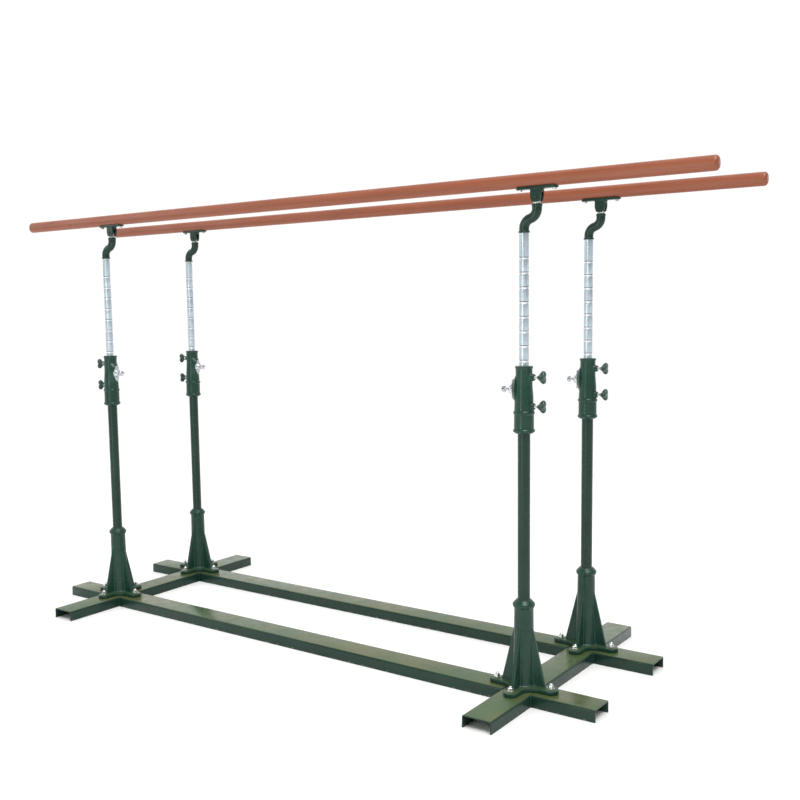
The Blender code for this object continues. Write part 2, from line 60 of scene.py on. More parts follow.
POSTS = {end: middle(f"upright_{end}") for end in ENDS}
TOPS = {end: middle(f"swivel_{end}") for end in ENDS}
CHANNEL_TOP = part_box("base_frame")[1].z
PEDESTAL_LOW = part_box("pedestal_front_right")[0].z
PEDESTAL_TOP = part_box("pedestal_front_right")[1].z
UPRIGHT_LOW, UPRIGHT_TOP = (corner.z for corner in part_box("upright_front_right"))
SLEEVE_LOW, SLEEVE_TOP = (corner.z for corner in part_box("sleeve_front_right"))
COLUMN_LOW, COLUMN_TOP = (corner.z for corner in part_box("column_front_right"))
NECK_LOW, NECK_TOP = (corner.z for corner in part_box("neck_front_right"))
SADDLE_LOW, SADDLE_TOP = (corner.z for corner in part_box("saddle_front_right"))
RAIL_LOW, RAIL_TOP = (corner.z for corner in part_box("rail_front"))
LATCH_Z = middle("latch_housing_front_right").z
CLAMP_ZS = {level: middle(f"clamp_screw_{level}_front_right").z for level in ("lower", "upper")}
PIN_Z = middle("tilt_pin_front_right").z
NECK_OFFSET = TOPS["front_right"].x - POSTS["front_right"].x

# Sizes that the node boxes don't give
CHANNEL_WIDTH = 0.116
CHANNEL_WALL = 0.005
CHANNEL_FOLD = 0.007
CHANNEL_INNER_FOLD = 0.002
STUB_X = 0.306
STUB_Y = 0.345
WELD_OVERLAP = 0.002
BEAD_R = 0.0030
BEAD_OFF_WALL = 0.0008

FLANGE_THICK = 0.016
ARM_X, ARM_Y = 0.110, 0.100
ARM_SPOTS = ((ARM_X, 0), (0, ARM_Y), (-ARM_X, 0), (0, -ARM_Y))
ARM_HALF_WIDTH = 0.028
ARM_FILLET = 0.045
BOLT_PAD_R = 0.0175
RIB_REACH = 0.088
RIB_THICK = 0.0125
RIB_TOP = (0.0325, 0.290)

UPRIGHT_R = 0.0225
UPRIGHT_BORE_R = 0.0195
UPRIGHT_PLAY = 0.0004
SOCKET_FLOOR = 0.090

COLUMN_R = 0.0168
COLUMN_BORE_R = 0.0130
COLUMN_PLAY = 0.0005
COLUMN_SHOULDER = COLUMN_TOP - 0.024
COLUMN_CAP = 0.02
SPIGOT_R = 0.0120
GROOVE_PITCH = 0.0516
GROOVES_ABOVE_LATCH = 9
GROOVES_BELOW_LATCH = 3
GROOVE_DEPTH = 0.0009
GROOVE_WIDTH = 0.0085
GROOVE_UPPER_FLANK = 0.0026
GROOVE_LOWER_FLANK = 0.0012

BOSS_FACE = 0.0398
LATCH_BORE_R = 0.0046
LATCH_EAR_X = 0.0310
PULL_R = 0.0115
PULL_FLUTES = 3
LUG_FACE = 0.0425
LUG_BORE_R = 0.0053

KNOB_LOW, KNOB_HIGH = 0.0545, 0.0818
KNOB_NECK_R = 0.0066
KNOB_SWELL = 0.0136
LOBE_DEPTH = 0.0056
LOBE_TURN = math.radians(30)

NECK_R = 0.0176
NECK_STRAIGHT = 0.016
SWIVEL_R = 0.0090
SWIVEL_REACH = 0.024
TONGUE_R = 0.0125
TONGUE_THICK = 0.012
FORK_HALF_GAP = 0.0064

RAIL_HALF_WIDTH = 0.020
RAIL_HALF_HEIGHT = (RAIL_TOP - RAIL_LOW) / 2
RAIL_END = 0.012
RAIL_SIDES = 64
RAIL_BOLT_X = 0.066
SADDLE_FLOOR = 0.006
SHARP_ANGLE = math.radians(32)


# Shapes


def scratch(name, mesh):
    made = bpy.data.objects.new(name, mesh)
    bpy.context.scene.collection.objects.link(made)
    return made


def baked(obj):
    """The object's evaluated mesh, with its placement applied. The object is removed."""
    bpy.context.view_layer.update()
    graph = bpy.context.evaluated_depsgraph_get()
    mesh = bpy.data.meshes.new_from_object(obj.evaluated_get(graph))
    mesh.transform(obj.matrix_world)
    bpy.data.objects.remove(obj, do_unlink=True)
    mesh.materials.clear()
    work = bmesh.new()
    work.from_mesh(mesh)
    bmesh.ops.remove_doubles(work, verts=work.verts, dist=1e-6)
    bmesh.ops.recalc_face_normals(work, faces=work.faces)
    work.to_mesh(mesh)
    work.free()
    return mesh


def moved(mesh, location=(0, 0, 0), rotation=(0, 0, 0)):
    turn = Matrix.Identity(4)
    for axis, angle in zip("XYZ", rotation):
        turn = Matrix.Rotation(math.radians(angle), 4, axis) @ turn
    mesh.transform(Matrix.Translation(location) @ turn)
    return mesh


def merged(*meshes):
    """One mesh that holds all of these, each with its own material index."""
    work = bmesh.new()
    for mesh in meshes:
        work.from_mesh(mesh)
    made = bpy.data.meshes.new("merged")
    work.to_mesh(made)
    work.free()
    return made


def painted_as(mesh, index):
    """The mesh with every face set to that material slot."""
    mesh.polygons.foreach_set("material_index", [index] * len(mesh.polygons))
    return mesh


def rounded(points, radius, closed=False):
    """The outline with each corner eased by a short curve."""
    steps = 4
    made = []
    for i, here in enumerate(points):
        if not closed and i in (0, len(points) - 1):
            made.append(tuple(here))
            continue
        corner = Vector(here)
        back = Vector(points[i - 1]) - corner
        onward = Vector(points[(i + 1) % len(points)]) - corner
        reach = min(radius, 0.45 * back.length, 0.45 * onward.length)
        start = corner + back.normalized() * reach
        end = corner + onward.normalized() * reach
        for k in range(steps + 1):
            t = k / steps
            point = start * (1 - t) ** 2 + corner * 2 * t * (1 - t) + end * t**2
            made.append((point.x, point.y))
    return made


def arc(centre, radius, start, end, steps):
    angles = [math.radians(start + (end - start) * i / steps) for i in range(steps + 1)]
    return [(centre[0] + radius * math.cos(a), centre[1] + radius * math.sin(a)) for a in angles]


def mirrored(side):
    """A whole outline from its +X half."""
    return side + [(-x, y) for x, y in reversed(side)]


def turned(profile, sides, ease=0.0):
    """A turned solid from (radius, height) points, which run down its outer side."""
    if ease:
        profile = rounded(profile, ease)
    mesh = bpy.data.meshes.new("profile")
    ends = [(i, i + 1) for i in range(len(profile) - 1)]
    mesh.from_pydata([(r, 0, z) for r, z in profile], ends, [])
    made = scratch("turned", mesh)
    screw = made.modifiers.new("turn", "SCREW")
    screw.steps = screw.render_steps = sides
    screw.use_merge_vertices = True
    screw.merge_threshold = 0.00001
    return baked(made)


def cylinder(radius, low, high, sides=48):
    return turned([(0, high), (radius, high), (radius, low), (0, low)], sides)


def extruded(outline, thick, ease=0.0):
    """A flat outline in XY, centred on Z = 0, with its edges eased."""
    curve = bpy.data.curves.new("outline", "CURVE")
    curve.dimensions = "2D"
    curve.fill_mode = "BOTH"
    curve.extrude = thick / 2 - ease
    curve.bevel_depth = ease
    curve.bevel_resolution = 2
    curve.offset = -ease
    spline = curve.splines.new("POLY")
    spline.points.add(len(outline) - 1)
    for point, (x, y) in zip(spline.points, outline):
        point.co = (x, y, 0, 1)
    spline.use_cyclic_u = True
    return baked(scratch("extruded", curve))


def swept(route, radius, sides_each_quarter, radii=None):
    """A tube along a route of points, with its ends closed. radii are shares of the radius."""
    curve = bpy.data.curves.new("route", "CURVE")
    curve.dimensions = "3D"
    curve.bevel_depth = radius
    curve.bevel_resolution = sides_each_quarter
    curve.use_fill_caps = True
    spline = curve.splines.new("POLY")
    spline.points.add(len(route) - 1)
    for i, (point, place) in enumerate(zip(spline.points, route)):
        point.co = (*place, 1)
        point.radius = radii[i] if radii else 1.0
    return baked(scratch("swept", curve))


def skinned(loops):
    """A closed solid through loops of points, one along from the other, all of one length."""
    work = bmesh.new()
    rings = [[work.verts.new(point) for point in loop] for loop in loops]
    for first, second in zip(rings, rings[1:]):
        for i in range(len(first)):
            j = (i + 1) % len(first)
            work.faces.new((first[i], first[j], second[j], second[i]))
    work.faces.new(reversed(rings[0]))
    work.faces.new(rings[-1])
    mesh = bpy.data.meshes.new("skinned")
    work.to_mesh(mesh)
    work.free()
    return mesh


def cast(parts, voxel, passes, keep):
    """Overlapping shapes fused into one casting with soft corners. keep is the share of faces."""
    made = scratch("cast", merged(*parts))
    fuse = made.modifiers.new("fuse", "REMESH")
    fuse.mode = "VOXEL"
    fuse.voxel_size = voxel
    soften = made.modifiers.new("soften", "SMOOTH")
    soften.factor = 0.5
    soften.iterations = passes
    thin = made.modifiers.new("thin", "DECIMATE")
    thin.ratio = keep
    return baked(made)


def cut(mesh, *cutters):
    """The mesh with the cutters' space taken away. All of them are closed solids."""
    made = scratch("cut", mesh)
    tools = [scratch("cutter", cutter) for cutter in cutters]
    for tool in tools:
        change = made.modifiers.new("cut", "BOOLEAN")
        change.operation = "DIFFERENCE"
        change.solver = "MANIFOLD"
        change.object = tool
    result = baked(made)
    for tool in tools:
        bpy.data.objects.remove(tool, do_unlink=True)
    return result


# Materials


class Paper:
    """A material's node tree, with short calls for the nodes used here."""

    def __init__(self, name):
        self.material = bpy.data.materials.new(name)
        self.material.use_nodes = True
        self.tree = self.material.node_tree
        self.shader = self.tree.nodes["Principled BSDF"]
        self.place = self.add("ShaderNodeTexCoord").outputs["Object"]

    def add(self, kind):
        return self.tree.nodes.new(kind)

    def link(self, source, target):
        self.tree.links.new(source, target)

    def stretched(self, scale):
        node = self.add("ShaderNodeMapping")
        node.inputs["Scale"].default_value = scale
        self.link(self.place, node.inputs["Vector"])
        return node.outputs["Vector"]

    def noise(self, scale, detail=3.0, where=None):
        node = self.add("ShaderNodeTexNoise")
        node.inputs["Scale"].default_value = scale
        node.inputs["Detail"].default_value = detail
        self.link(where or self.place, node.inputs["Vector"])
        return node.outputs["Fac"]

    def spread(self, value, low, high, to_low=0.0, to_high=1.0):
        """The value from low to high, stretched to the second range and held at its ends."""
        node = self.add("ShaderNodeMapRange")
        ranges = {"From Min": low, "From Max": high, "To Min": to_low, "To Max": to_high}
        for key, number in ranges.items():
            node.inputs[key].default_value = number
        self.link(value, node.inputs["Value"])
        return node.outputs["Result"]

    def times(self, first, second):
        node = self.add("ShaderNodeMath")
        node.operation = "MULTIPLY"
        self.link(first, node.inputs[0])
        if isinstance(second, float):
            node.inputs[1].default_value = second
        else:
            self.link(second, node.inputs[1])
        return node.outputs["Value"]

    def mix(self, share, first, second):
        """Between two colours, each a triple or another node's output."""
        node = self.add("ShaderNodeMix")
        node.data_type = "RGBA"
        self.link(share, node.inputs["Factor"])
        for name, colour in (("A", first), ("B", second)):
            socket = next(s for s in node.inputs if s.name == name and s.type == "RGBA")
            if isinstance(colour, tuple):
                socket.default_value = (*colour, 1)
            else:
                self.link(colour, socket)
        return next(s for s in node.outputs if s.type == "RGBA")

    def facing_up(self, low=0.75, high=0.98):
        """1 where the surface faces up, 0 where it is steeper than low."""
        split = self.add("ShaderNodeSeparateXYZ")
        self.link(self.add("ShaderNodeNewGeometry").outputs["Normal"], split.inputs["Vector"])
        return self.spread(split.outputs["Z"], low, high)

    def height(self, low, high):
        """0 to 1 over a range of the piece's own height, and falling where low is above high."""
        split = self.add("ShaderNodeSeparateXYZ")
        self.link(self.place, split.inputs["Vector"])
        return self.spread(split.outputs["Z"], low, high)

    def edges(self, low, high):
        """1 on edges that stand out."""
        return self.spread(self.add("ShaderNodeNewGeometry").outputs["Pointiness"], low, high)

    def bump(self, height, distance, under=None):
        node = self.add("ShaderNodeBump")
        node.inputs["Distance"].default_value = distance
        node.inputs["Strength"].default_value = 1.0
        self.link(height, node.inputs["Height"])
        if under:
            self.link(under, node.inputs["Normal"])
        return node.outputs["Normal"]

    def finish(self, colour, roughness, normal, **plain):
        self.link(colour, self.shader.inputs["Base Color"])
        self.link(roughness, self.shader.inputs["Roughness"])
        if normal:
            self.link(normal, self.shader.inputs["Normal"])
        for name, value in plain.items():
            self.shader.inputs[name.replace("_", " ")].default_value = value
        return self.material


PAINT = (0.0080, 0.040, 0.027)
PAINT_LIGHT = (0.0155, 0.060, 0.039)
# Olive and warm olive painted reflections of sky and trees, for green paint that faces up.
PAINT_TOP_REFLECTION = (0.080, 0.135, 0.050)
PAINT_TOP_REFLECTION_WARM = (0.150, 0.140, 0.050)
PRIMER = (0.16, 0.17, 0.14)
ENAMEL = (0.009, 0.038, 0.026)
ENAMEL_LIGHT = (0.018, 0.074, 0.050)
ENAMEL_RUBBED = (0.10, 0.13, 0.10)
RAIL_DARK = (0.232, 0.056, 0.019)
RAIL_LIGHT = (0.300, 0.080, 0.031)
RAIL_GRAIN = (0.15, 0.038, 0.018)
# Pinkish chalk, which also serves as a painted highlight on the rails' tops.
CHALK_AND_HIGHLIGHT = (0.46, 0.175, 0.122)
ZINC_BRIGHT = (0.78, 0.79, 0.80)
ZINC_DULL = (0.62, 0.63, 0.60)


def paint(name, grain, grain_depth, reflection_share, cast_edges, deep=1.0):
    """Gloss bottle-green paint with an olive painted reflection on surfaces that face up, rubbed at
    its edges or its feet.

    The fourth argument is how far the painted olive reflection covers surfaces that face up, and deep
    darkens the green.
    """
    p = Paper(name)
    cloud = p.noise(5.0, 4.0)
    shades = [tuple(deep * c for c in shade) for shade in (PAINT, PAINT_LIGHT)]
    body = p.mix(p.spread(cloud, 0.35, 0.70), *shades)
    # Painted reflection: surfaces that face up take an olive tint in noisy patches.
    warm = p.spread(p.noise(4.2, 3.5), 0.40, 0.72)
    top = p.mix(warm, PAINT_TOP_REFLECTION, PAINT_TOP_REFLECTION_WARM)
    reflection_patches = p.spread(p.noise(4.5, 3.0), 0.25, 0.75, 0.72 * reflection_share, reflection_share)
    painted_reflection_on_tops = p.times(p.facing_up(), reflection_patches)
    body = p.mix(painted_reflection_on_tops, body, top)
    worn = p.edges(0.56, 0.62) if cast_edges else p.height(0.009, 0.001)
    rub = p.times(worn, p.spread(p.noise(60.0, 5.0), 0.55, 0.66))
    body = p.mix(rub, body, PRIMER)
    gloss = p.spread(p.noise(22.0, 3.0), 0.3, 0.7, 0.20, 0.38)
    normal = p.bump(p.noise(grain, 3.0), grain_depth)
    normal = p.bump(p.noise(900.0, 2.0), 0.00002, under=normal)
    sheen = {"Specular_IOR_Level": 0.26, "Coat_Weight": 0.12, "Coat_Roughness": 0.12}
    return p.finish(body, gloss, normal, **sheen)


def enamel():
    """The knobs' darker, glossier green."""
    p = Paper("green_knob")
    body = p.mix(p.spread(p.noise(40.0, 3.0), 0.35, 0.7), ENAMEL, ENAMEL_LIGHT)
    rub = p.times(p.edges(0.57, 0.64), p.spread(p.noise(150.0, 4.0), 0.5, 0.62))
    body = p.mix(rub, body, ENAMEL_RUBBED)
    gloss = p.spread(p.noise(90.0, 3.0), 0.3, 0.7, 0.16, 0.32)
    normal = p.bump(p.noise(260.0, 3.0), 0.00010)
    sheen = {"Specular_IOR_Level": 0.35, "Coat_Weight": 0.25, "Coat_Roughness": 0.10}
    return p.finish(body, gloss, normal, **sheen)


def plated(name, light, dark, rough, streaks=1.0):
    """Plated steel: turning marks round it, streaks drawn along it, faint dull patches."""
    p = Paper(name)
    marks = p.noise(1.0, 4.0, p.stretched((25.0, 25.0, 1600.0)))
    drawn = p.noise(1.0, 3.0, p.stretched((260.0, 260.0, 7.0)))
    patches = p.noise(18.0, 4.0)
    body = p.mix(p.spread(patches, 0.3, 0.7), light, dark)
    streak = tuple(0.60 * c for c in dark)
    body = p.mix(p.times(p.spread(drawn, 0.46, 0.62), 0.60), body, streak)
    gloss = p.spread(patches, 0.3, 0.7, rough * 0.75, rough * 1.25)
    normal = p.bump(marks, 0.000012 * streaks)
    return p.finish(body, gloss, normal, Metallic=1.0)


def zinc_plate():
    p = Paper("zinc")
    body = p.mix(p.spread(p.noise(120.0, 3.0), 0.35, 0.65), ZINC_BRIGHT, ZINC_DULL)
    gloss = p.spread(p.noise(200.0, 3.0), 0.3, 0.7, 0.16, 0.34)
    return p.finish(body, gloss, p.bump(p.noise(500.0, 2.0), 0.00004), Metallic=1.0)


def rail_coating():
    """Satin red-brown coating over laminated wood: long faint grain, and chalk with a painted
    highlight on top.
    """
    p = Paper("rail_coating")
    grain = p.noise(1.0, 6.0, p.stretched((1.6, 70.0, 70.0)))
    fine = p.noise(1.0, 5.0, p.stretched((9.0, 420.0, 420.0)))
    body = p.mix(p.spread(grain, 0.35, 0.68), RAIL_DARK, RAIL_LIGHT)
    body = p.mix(p.times(p.spread(fine, 0.45, 0.75), 0.25), body, RAIL_GRAIN)
    # Chalk and painted highlight: parts that face up lighten towards pink in noisy patches.
    chalk_and_highlight_share = p.spread(p.noise(7.0, 5.0), 0.30, 0.75, 0.20, 0.60)
    body = p.mix(p.times(p.facing_up(0.25, 0.95), chalk_and_highlight_share), body, CHALK_AND_HIGHLIGHT)
    gloss = p.spread(p.noise(6.0, 4.0), 0.3, 0.7, 0.36, 0.52)
    normal = p.bump(grain, 0.00012)
    normal = p.bump(fine, 0.00005, under=normal)
    return p.finish(body, gloss, normal, Coat_Weight=0.12, Coat_Roughness=0.25)


SHEET_PAINT = paint("green_sheet", 160.0, 0.00008, 0.82, False, 0.66)
CAST_PAINT = paint("green_cast", 95.0, 0.00030, 0.45, True)
# The same green paint darkened by 0.60 as painted shade on the neck, saddle and tilt pin.
HEAD_PAINT_SHADED = paint("green_head_shaded", 120.0, 0.00022, 0.25, True, 0.60)
KNOB = enamel()
CHROME = plated("chrome", (0.60, 0.68, 0.74), (0.49, 0.57, 0.63), 0.36)
# Ring grooves: lighter chrome as a painted reflection of the sky, and near-black chrome on their upper
# flanks as painted shade.
RING_REFLECTION = plated("chrome_ring_reflection", (0.84, 0.88, 0.93), (0.76, 0.81, 0.87), 0.30, 0.4)
GROOVE_SHADE = plated("chrome_groove_shade", (0.06, 0.07, 0.08), (0.12, 0.13, 0.14), 0.45, 0.4)
BRIGHT = plated("chrome_latch", (0.74, 0.76, 0.80), (0.56, 0.58, 0.62), 0.26, 0.3)
ZINC = zinc_plate()
COATING = rail_coating()


# Pieces, each made once in its own frame: X away from the stand's middle, Z up from the floor


def channel(length):
    """Open-bottomed channel along X with rounded folds inside and out."""
    half, fold = CHANNEL_WIDTH / 2, CHANNEL_FOLD
    inner, crease = half - CHANNEL_WALL, CHANNEL_INNER_FOLD
    top = CHANNEL_TOP - CHANNEL_WALL
    outline = [(half, 0)] + arc((half - fold, CHANNEL_TOP - fold), fold, 0, 90, 8)
    outline += arc((fold - half, CHANNEL_TOP - fold), fold, 90, 180, 8)
    outline += [(-half, 0), (-inner, 0)]
    outline += arc((crease - inner, top - crease), crease, 180, 90, 3)
    outline += arc((inner - crease, top - crease), crease, 90, 0, 3)
    outline += [(inner, 0)]
    return moved(extruded(outline, length, 0.0006), rotation=(90, 0, 90))


def weld_bead(x, y, side_x, side_y):
    """A rippled bead up the inner corner at (x, y) and in over the top as far as the flange arm."""
    foot, shoulder, crown = 0.003, CHANNEL_TOP - 0.004, CHANNEL_TOP - 0.0012
    steps, up = 34, 14
    route = []
    radii = []
    for i in range(steps + 1):
        if i <= up:
            spot = (x, y, foot + (shoulder - foot) * i / up)
        else:
            share = (i - up) / (steps - up)
            spot = (x - side_x * 0.0005, y - side_y * (0.004 + 0.020 * share), crown)
        route.append(spot)
        radii.append(1.0 + 0.16 * math.sin(i * 2.3) + 0.08 * math.sin(i * 5.1))
    return swept(route, BEAD_R, 3, radii)


def base_frame():
    """Two cross members, with the long rails and stubs welded to their walls."""
    posts_x = (POSTS["front_left"].x, POSTS["front_right"].x)
    posts_y = (POSTS["front_left"].y, POSTS["rear_left"].y)
    cross_length = posts_y[1] - posts_y[0] + 2 * STUB_Y
    half = CHANNEL_WIDTH / 2
    centre_x = sum(posts_x) / 2
    between = posts_x[1] - posts_x[0] - 2 * half + 2 * WELD_OVERLAP
    stub = STUB_X - half + WELD_OVERLAP
    corner = half + BEAD_OFF_WALL
    parts = [moved(channel(cross_length), (x, 0, 0), (0, 0, 90)) for x in posts_x]
    for y in posts_y:
        parts.append(moved(channel(between), (centre_x, y, 0)))
        for x, side in zip(posts_x, (-1, 1)):
            out = side * (half - WELD_OVERLAP + stub / 2)
            parts.append(moved(channel(stub), (x + out, y, 0)))
            for face in (-1, 1):
                for edge in (-1, 1):
                    parts.append(weld_bead(x + face * corner, y + edge * corner, face, edge))
    return merged(*parts)


def cruciform():
    """The pedestal's foot: four rounded arms with hollow curves between them."""
    outline = []
    reach = ARM_HALF_WIDTH + ARM_FILLET
    for quarter, place in enumerate(ARM_SPOTS):
        turn = 90 * quarter
        outline += arc(place, ARM_HALF_WIDTH, turn - 90, turn + 90, 16)
        cos, sin = math.cos(math.radians(turn)), math.sin(math.radians(turn))
        hollow = (reach * (cos - sin), reach * (sin + cos))
        outline += arc(hollow, ARM_FILLET, turn + 270, turn + 180, 12)
    return outline


def pedestal():
    """Flange with bolt pads, tapered column with a bead collar, and four ribs."""
    foot_top = PEDESTAL_LOW + FLANGE_THICK
    flange = extruded(cruciform(), FLANGE_THICK, 0.0020)
    parts = [moved(flange, (0, 0, PEDESTAL_LOW + FLANGE_THICK / 2))]
    for x, y in ARM_SPOTS:
        pad = cylinder(BOLT_PAD_R, PEDESTAL_LOW + 0.004, foot_top + 0.0018, 32)
        parts.append(moved(pad, (x, y, 0)))
    profile = [
        (0, PEDESTAL_TOP),
        (0.0290, PEDESTAL_TOP),
        (0.0310, PEDESTAL_TOP - 0.004),
        (0.0385, PEDESTAL_TOP - 0.012),
        (0.0415, PEDESTAL_TOP - 0.017),
        (0.0405, PEDESTAL_TOP - 0.024),
        (0.0350, PEDESTAL_TOP - 0.032),
        (0.0350, PEDESTAL_TOP - 0.036),
        (0.0362, 0.230),
        (0.0420, foot_top + 0.006),
        (0.0500, foot_top - 0.002),
        (0, foot_top - 0.002),
    ]
    parts.append(turned(profile, 64, 0.003))
    side = [(RIB_REACH, foot_top - 0.004), (RIB_REACH, foot_top + 0.006), RIB_TOP]
    for turn in (0, 90):
        parts.append(moved(extruded(mirrored(side), RIB_THICK, 0.0015), rotation=(90, 0, turn)))
    casting = cast(parts, 0.0020, 4, 0.30)
    return cut(casting, cylinder(UPRIGHT_R + UPRIGHT_PLAY, SOCKET_FLOOR, PEDESTAL_TOP + 0.01))


def upright():
    """Plain tube with a bead of paint where it enters the pedestal."""
    profile = [
        (UPRIGHT_BORE_R, UPRIGHT_TOP),
        (UPRIGHT_R, UPRIGHT_TOP),
        (UPRIGHT_R, PEDESTAL_TOP + 0.0016),
        (UPRIGHT_R + 0.0014, PEDESTAL_TOP + 0.0004),
        (UPRIGHT_R, PEDESTAL_TOP - 0.0015),
        (UPRIGHT_R, UPRIGHT_LOW),
        (UPRIGHT_BORE_R, UPRIGHT_LOW),
        (UPRIGHT_BORE_R, UPRIGHT_TOP),
    ]
    return turned(profile, 72)


def sleeve():
    """Head casting: lips, bead ring, long swelling for the latch to -X, clamp bosses to +X."""
    outer = [
        (0, SLEEVE_TOP),
        (0.0310, SLEEVE_TOP),
        (0.0322, SLEEVE_TOP - 0.0030),
        (0.0316, SLEEVE_TOP - 0.0075),
        (0.0298, SLEEVE_TOP - 0.0105),
        (0.0303, 1.160),
        (0.0335, 1.115),
        (0.0350, 1.0690),
        (0.0376, 1.0660),
        (0.0388, 1.0615),
        (0.0374, 1.0570),
        (0.0349, 1.0545),
        (0.0354, 1.0515),
        (0.0358, 1.0040),
        (0.0388, 1.0005),
        (0.0398, 0.9970),
        (0.0388, 0.9935),
        (0.0300, SLEEVE_LOW),
        (0, SLEEVE_LOW),
    ]
    swell = [
        (0, BOSS_FACE),
        (0.0376, BOSS_FACE),
        (0.0396, BOSS_FACE - 0.002),
        (0.0645, 0.0220),
        (0, 0.0180),
    ]
    boss = turned(swell, 48, 0.001)
    boss.transform(Matrix.Diagonal((1, 0.5, 1, 1)))
    parts = [turned(outer, 72, 0.0015), moved(boss, (0, 0, LATCH_Z), (0, -90, 0))]
    holes = [
        cylinder(COLUMN_R + COLUMN_PLAY, UPRIGHT_TOP - 0.01, SLEEVE_TOP + 0.01, 64),
        cylinder(UPRIGHT_R + UPRIGHT_PLAY, SLEEVE_LOW - 0.01, UPRIGHT_TOP + 0.0005, 64),
        moved(cylinder(LATCH_BORE_R, 0.01, 0.06, 24), (0, 0, LATCH_Z), (0, -90, 0)),
    ]
    cone = [
        (0, LUG_FACE),
        (0.0108, LUG_FACE),
        (0.0118, LUG_FACE - 0.002),
        (0.0160, 0.0270),
        (0, 0.02),
    ]
    for z in CLAMP_ZS.values():
        parts.append(moved(turned(cone, 40, 0.001), (0, 0, z), (0, 90, 0)))
        holes.append(moved(cylinder(LUG_BORE_R, 0.01, 0.06, 24), (0, 0, z), (0, 90, 0)))
    return cut(cast(parts, 0.0011, 4, 0.35), *holes)


def lobed_knob():
    """Three-lobed knob that grows from a small neck. Z is the screw's axis, outwards."""
    around, levels = 96, 22
    widest = 0.66
    face_edge = 0.58
    loops = []
    for k in range(levels + 1):
        t = k / levels
        z = KNOB_LOW + (KNOB_HIGH - KNOB_LOW) * t
        swell = math.sin(min(1.0, t / widest) * math.pi / 2) ** 1.6
        if t < widest:
            face = 1.0
        else:
            dome = math.sqrt(max(0.0, 1 - ((t - widest) / (1 - widest)) ** 2))
            face = dome * (1 - face_edge) + face_edge
        loop = []
        for i in range(around):
            a = 2 * math.pi * i / around
            turn = 3 * (a - LOBE_TURN)
            lobe = LOBE_DEPTH * swell * (math.cos(turn) - 0.10 * math.cos(2 * turn))
            radius = (KNOB_NECK_R + KNOB_SWELL * swell + lobe) * face
            loop.append((radius * math.cos(a), radius * math.sin(a), z))
        loops.append(loop)
    return skinned(loops)


def thread(radius, low, high, pitch):
    """A stud with its thread cut as rings."""
    profile = [(0, high), (radius - 0.0007, high)]
    z = high - pitch / 2
    while z > low + pitch:
        profile += [(radius, z), (radius - 0.0006, z - pitch / 2)]
        z -= pitch
    profile += [(radius, low), (0, low)]
    return turned(profile, 32)


def clamp_screw():
    """Knob (slot 0) on a threaded stud (slot 1)."""
    stud = thread(0.0047, COLUMN_R + 0.0007, 0.0600, 0.0015)
    return merged(lobed_knob(), painted_as(stud, 1))


def eared_plate(hub_r, ear_r, reach):
    """The outline of a round plate with a small ear at each end."""
    tangent = math.degrees(math.acos((hub_r - ear_r) / reach))
    outline = []
    for turn, side in ((0, 1), (180, -1)):
        outline += arc((side * reach, 0), ear_r, turn - tangent, turn + tangent, 12)
        outline += arc((0, 0), hub_r, turn + tangent, turn + 180 - tangent, 10)
    return outline


def latch_housing():
    """Eared plate with a waisted hub, held by two domed screws."""
    thick = 0.005
    outline = eared_plate(0.0192, 0.0062, LATCH_EAR_X)
    plate = moved(extruded(outline, thick, 0.0012), (0, 0, BOSS_FACE + thick / 2))
    waist = [
        (0, 0.0205),
        (0.0076, 0.0205),
        (0.0090, 0.0198),
        (0.0098, 0.0178),
        (0.0138, 0.0163),
        (0.0168, 0.0130),
        (0.0186, 0.0085),
        (0.0190, 0.0045),
        (0, 0.0040),
    ]
    hub = turned([(r, BOSS_FACE + z) for r, z in waist], 56, 0.0008)
    housing = cut(cast([plate, hub], 0.0006, 3, 0.4), cylinder(LATCH_BORE_R, 0.03, 0.08, 32))
    dome = [(0, 0.0046), (0.0022, 0.0043), (0.0040, 0.0030), (0.0047, 0.0008), (0, 0)]
    screws = []
    for x in (-LATCH_EAR_X, LATCH_EAR_X):
        screws.append(moved(turned(dome, 32, 0.0006), (x, 0, BOSS_FACE + thick - 0.0002)))
    return merged(housing, *screws)


def latch_plunger():
    """Pin with a fluted pull knob."""
    profile = [(0, 0.0865), (0.0085, 0.0865), (0.0108, 0.0856), (PULL_R, 0.0844)]
    for flute in range(PULL_FLUTES):
        z = 0.0836 - 0.0026 * flute
        profile += [(PULL_R, z), (0.0106, z - 0.0007), (PULL_R, z - 0.0014)]
    profile += [(PULL_R, 0.0756), (0.0100, 0.0742), (0.0044, 0.0740)]
    profile += [(0.0040, COLUMN_R + 0.0030), (0.0025, COLUMN_R + 0.0008), (0, COLUMN_R + 0.0008)]
    return turned(profile, 56)


